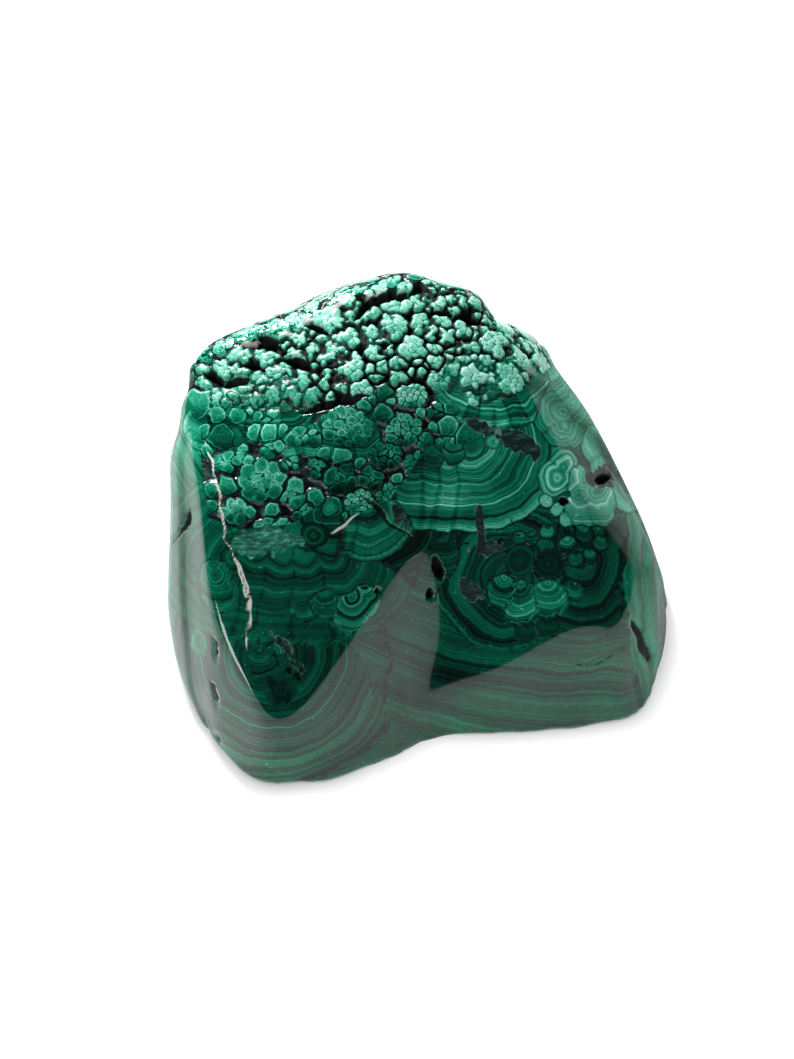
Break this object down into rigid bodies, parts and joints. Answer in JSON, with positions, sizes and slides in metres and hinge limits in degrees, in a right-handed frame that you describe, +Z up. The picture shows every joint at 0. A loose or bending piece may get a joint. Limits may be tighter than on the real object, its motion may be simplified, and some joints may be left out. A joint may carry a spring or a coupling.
{
  "type": "malachite specimen",
  "caption": "Free-form lump of polished malachite with a flat ground base and a knobbly crust over its top; stands on its base as a display stone or paperweight.",
  "frame": {"origin": "centre of the bounding box, on the flat base", "axes": "+Z up from the base, -Y toward the show side with the hollow between the two lobes, +X to the right of the show side"},
  "size_m": [0.0954, 0.0892, 0.0688],
  "materials": {
    "malachite": "polished malachite, banded in light and dark green"
  },
  "bodies": {
    "root": {"malachite": "malachite"}
  },
  "joints": []
}
